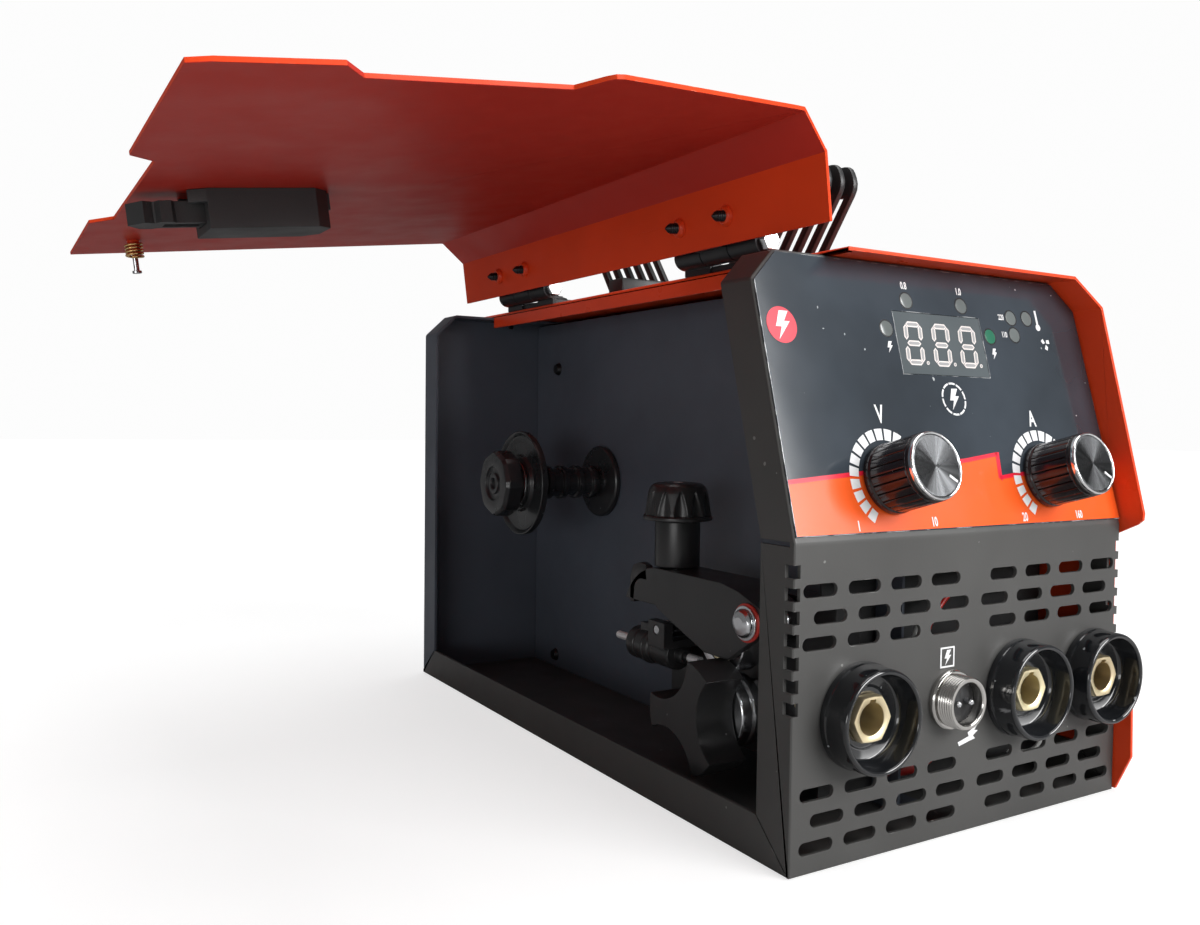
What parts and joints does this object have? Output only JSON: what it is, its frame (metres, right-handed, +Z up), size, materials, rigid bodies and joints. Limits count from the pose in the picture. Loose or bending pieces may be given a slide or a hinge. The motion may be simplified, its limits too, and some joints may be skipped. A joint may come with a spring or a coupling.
{
  "type": "mig welding machine",
  "caption": "Compact wire welder: folded steel case with open side door, ribbed carry handle, leaning control panel, output sockets, spool holder and wire feeder.",
  "frame": {"origin": "centre of the base plate's lower face, midway across and along the case without its door", "axes": "+Z up, front panel and sockets face -Y, side door on the -X side"},
  "size_m": [0.2978, 0.2998, 0.223],
  "materials": {
    "chassis_paint": "satin fine-textured powder coat",
    "orange_paint": "semi-gloss powder coat",
    "black_screw": "black oxide",
    "black_hinge": "satin black",
    "panel_label": "glossy printed overlay",
    "display_smoke": "smoked window",
    "circuit_board": "solder resist",
    "lamp_lens": "clear moulded",
    "plated_steel": "bright plated",
    "gloss_black": "glossy moulded",
    "brass": "machined",
    "nickel": "nickel plated",
    "black_plastic": "fine-textured moulded",
    "motor_steel": "satin",
    "aluminium": "extruded",
    "transformer_tape": "tape wrap",
    "capacitor_sleeve": "shrink sleeve",
    "dark_aluminium": "spun face",
    "red_washer": "plated red",
    "red_switch": "moulded"
  },
  "bodies": {
    "case": {"base_tray": "chassis_paint", "front_panel": "chassis_paint", "rear_panel": "chassis_paint", "divider_plate": "chassis_paint", "outer_cover": "orange_paint", "cover_screws": "black_screw", "hinge_fixed_leaves": "black_hinge", "control_label": "panel_label", "display_window": "display_smoke", "display_board": "circuit_board", "led_lenses": "lamp_lens", "potentiometers": "plated_steel", "socket_shrouds": "gloss_black", "socket_inserts": "brass", "gun_connector_shell": "nickel", "gun_connector_insert": "black_plastic", "gun_connector_pins": "nickel", "handle": "black_plastic", "handle_screws": "plated_steel", "hinge_pins": "plated_steel", "spool_axle": "plated_steel", "feeder_bracket": "black_plastic", "wire_guide": "black_plastic", "inlet_tube": "plated_steel", "feed_motor": "motor_steel", "arm_pivot_bolt": "plated_steel", "fan_frame": "black_plastic", "heat_sinks": "aluminium", "power_board": "circuit_board", "transformer": "transformer_tape", "capacitors": "capacitor_sleeve", "power_switch_body": "black_plastic", "cable_gland": "black_plastic", "bay_screws": "plated_steel"},
    "door": {"side_door": "orange_paint", "hinge_door_leaves": "black_hinge", "door_screws": "black_screw", "latch_body": "black_plastic", "pin_collar": "orange_paint", "pin_spring": "brass"},
    "latch_slider": {"latch_slider": "black_plastic"},
    "spring_pin": {"spring_pin": "plated_steel"},
    "voltage_knob": {"voltage_knob": "black_plastic", "voltage_knob_cap": "dark_aluminium"},
    "current_knob": {"current_knob": "black_plastic", "current_knob_cap": "dark_aluminium"},
    "spool_hub": {"spool_hub": "black_plastic", "spool_disc": "black_plastic", "spool_washer": "red_washer"},
    "spool_knob": {"spool_knob": "black_plastic"},
    "drive_roller": {"drive_roller": "plated_steel", "roller_knob": "black_plastic"},
    "pressure_arm": {"pressure_arm": "black_plastic"},
    "pressure_roller": {"pressure_roller": "plated_steel"},
    "tension_stem": {"tension_stem": "plated_steel"},
    "tension_sleeve": {"tension_sleeve": "black_plastic"},
    "tension_knob": {"tension_knob": "black_plastic"},
    "fan_rotor": {"fan_rotor": "black_plastic"},
    "power_rocker": {"power_rocker": "red_switch"}
  },
  "joints": [
    {"name": "door_hinge", "type": "hinge", "parent": "case", "child": "door", "pos_m": [-0.042, 0, 0.1795], "axis": [0, 1, 0], "range_deg": [-82.8, 12]},
    {"name": "latch_slide", "type": "slide", "parent": "door", "child": "latch_slider", "axis": [0.9921, 0, 0.1253], "range_m": [0, 0.008], "stiffness_N_per_m": 120, "springref_m": -0.006},
    {"name": "spring_pin_push", "type": "slide", "parent": "door", "child": "spring_pin", "axis": [-0.1253, 0, 0.9921], "range_m": [0, 0.003], "stiffness_N_per_m": 150, "springref_m": -0.003},
    {"name": "voltage_knob_turn", "type": "hinge", "parent": "case", "child": "voltage_knob", "pos_m": [-0.033, -0.1285, 0.10608], "axis": [0, -0.963, 0.2696], "range_deg": [-30, 270]},
    {"name": "current_knob_turn", "type": "hinge", "parent": "case", "child": "current_knob", "pos_m": [0.0365, -0.1285, 0.10608], "axis": [0, -0.963, 0.2696], "range_deg": [-30, 270]},
    {"name": "spool_spin", "type": "hinge", "parent": "case", "child": "spool_hub", "pos_m": [-0.03, 0.066, 0.095], "axis": [-1, 0, 0], "continuous": true},
    {"name": "spool_knob_turn", "type": "hinge", "parent": "case", "child": "spool_knob", "pos_m": [-0.06, 0.066, 0.095], "axis": [-1, 0, 0], "range_deg": [-90, 720]},
    {"name": "drive_roller_spin", "type": "hinge", "parent": "case", "child": "drive_roller", "pos_m": [-0.0464, -0.075, 0.0286], "axis": [-1, 0, 0], "continuous": true},
    {"name": "pressure_arm_lift", "type": "hinge", "parent": "case", "child": "pressure_arm", "pos_m": [-0.0464, -0.094, 0.061], "axis": [1, 0, 0], "range_deg": [0, 4]},
    {"name": "pressure_roller_spin", "type": "hinge", "parent": "pressure_arm", "child": "pressure_roller", "pos_m": [-0.0464, -0.075, 0.0534], "axis": [-1, 0, 0], "continuous": true},
    {"name": "tension_swing", "type": "hinge", "parent": "case", "child": "tension_stem", "pos_m": [-0.0464, -0.0435, 0.05], "axis": [-1, 0, 0], "range_deg": [0, 70]},
    {"name": "tension_lift", "type": "slide", "parent": "tension_stem", "child": "tension_sleeve", "axis": [0, 0, 1], "range_m": [0, 0.0036]},
    {"name": "tension_knob_turn", "type": "hinge", "parent": "tension_sleeve", "child": "tension_knob", "pos_m": [-0.0464, -0.0435, 0.092], "axis": [0, 0, 1], "range_deg": [-720, 720]},
    {"name": "fan_spin", "type": "hinge", "parent": "case", "child": "fan_rotor", "pos_m": [0.0302, 0.115, 0.096], "axis": [0, 1, 0], "continuous": true},
    {"name": "power_rocker_tilt", "type": "hinge", "parent": "case", "child": "power_rocker", "pos_m": [0.048, 0.129, 0.028], "axis": [-1, 0, 0], "range_deg": [0, 20]}
  ],
  "couplings": [
    {"joint": "pressure_roller_spin", "follows": "drive_roller_spin", "ratio": -1},
    {"joint": "tension_lift", "follows": "pressure_arm_lift", "m_per_rad": 0.0505}
  ]
}
